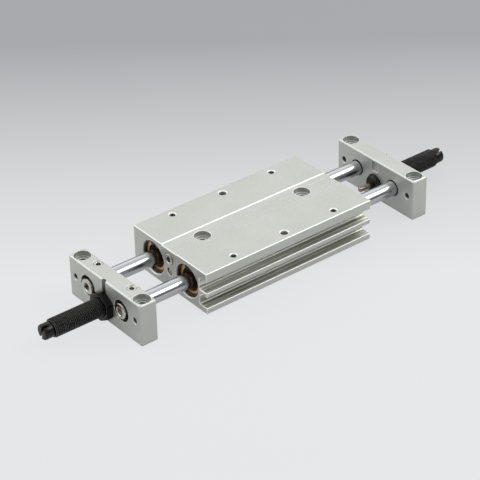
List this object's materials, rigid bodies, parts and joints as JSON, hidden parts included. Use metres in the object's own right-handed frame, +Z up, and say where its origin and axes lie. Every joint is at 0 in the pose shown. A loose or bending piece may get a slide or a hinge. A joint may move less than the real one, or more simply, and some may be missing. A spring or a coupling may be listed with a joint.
{
  "type": "twin rod pneumatic cylinder",
  "caption": "Twin rod pneumatic slide: a ported, slotted body travels on parallel chromed rods between end plates that carry threaded shock absorbers.",
  "frame": {"origin": "centre of the footprint, level with the feet of the end plates, with the body at mid-stroke", "axes": "+X along the rods towards the plate without set screws, +Y towards the side with the air ports, +Z up"},
  "size_m": [0.2608, 0.06, 0.0247],
  "materials": {
    "anodised_aluminium": "clear anodised, satin",
    "plain_aluminium": "turned",
    "hard_chromed_steel": "ground and hard chromed",
    "bearing_bronze": "turned",
    "seal_rubber": "moulded, matte",
    "black_oxide_steel": "black oxide, oiled",
    "nickel_plated_steel": "nickel plated",
    "bonded_magnet": "bonded, matte",
    "hardened_steel": "hardened and ground",
    "spring_steel": "drawn wire"
  },
  "bodies": {
    "frame": {"end_plate_left": "anodised_aluminium", "end_plate_right": "anodised_aluminium", "lock_nut_left": "black_oxide_steel", "lock_nut_right": "black_oxide_steel", "piston_clips": "black_oxide_steel", "piston_front": "plain_aluminium", "piston_magnet_front": "bonded_magnet", "piston_magnet_rear": "bonded_magnet", "piston_rear": "plain_aluminium", "piston_seal_front_left": "seal_rubber", "piston_seal_front_right": "seal_rubber", "piston_seal_rear_left": "seal_rubber", "piston_seal_rear_right": "seal_rubber", "rod_end_screws": "nickel_plated_steel", "rod_end_washers": "black_oxide_steel", "rod_front": "hard_chromed_steel", "rod_lock_screws": "nickel_plated_steel", "rod_rear": "hard_chromed_steel", "shock_cap_left": "black_oxide_steel", "shock_cap_right": "black_oxide_steel", "shock_guide_left": "black_oxide_steel", "shock_guide_right": "black_oxide_steel", "shock_spring_left": "spring_steel", "shock_spring_right": "spring_steel", "shock_tube_left": "black_oxide_steel", "shock_tube_right": "black_oxide_steel"},
    "housing": {"body": "anodised_aluminium", "bush_o_ring_front_left": "seal_rubber", "bush_o_ring_front_right": "seal_rubber", "bush_o_ring_rear_left": "seal_rubber", "bush_o_ring_rear_right": "seal_rubber", "end_pins": "nickel_plated_steel", "end_port_plugs": "nickel_plated_steel", "retaining_rings": "black_oxide_steel", "rod_bush_front_left": "bearing_bronze", "rod_bush_front_right": "bearing_bronze", "rod_bush_rear_left": "bearing_bronze", "rod_bush_rear_right": "bearing_bronze", "rod_seal_front_left": "seal_rubber", "rod_seal_front_right": "seal_rubber", "rod_seal_rear_left": "seal_rubber", "rod_seal_rear_right": "seal_rubber"},
    "plunger_left": {"shock_plunger_left": "hardened_steel"},
    "plunger_right": {"shock_plunger_right": "hardened_steel"}
  },
  "joints": [
    {"name": "body_slide", "type": "slide", "parent": "frame", "child": "housing", "axis": [1, 0, 0], "range_m": [-0.0186, 0.0186]},
    {"name": "plunger_left_slide", "type": "slide", "parent": "frame", "child": "plunger_left", "axis": [-1, 0, 0], "range_m": [0, 0.0065], "stiffness_N_per_m": 800, "springref_m": -0.006, "deforming": ["shock_spring_left"]},
    {"name": "plunger_right_slide", "type": "slide", "parent": "frame", "child": "plunger_right", "axis": [1, 0, 0], "range_m": [0, 0.0065], "stiffness_N_per_m": 800, "springref_m": -0.006, "deforming": ["shock_spring_right"]}
  ]
}
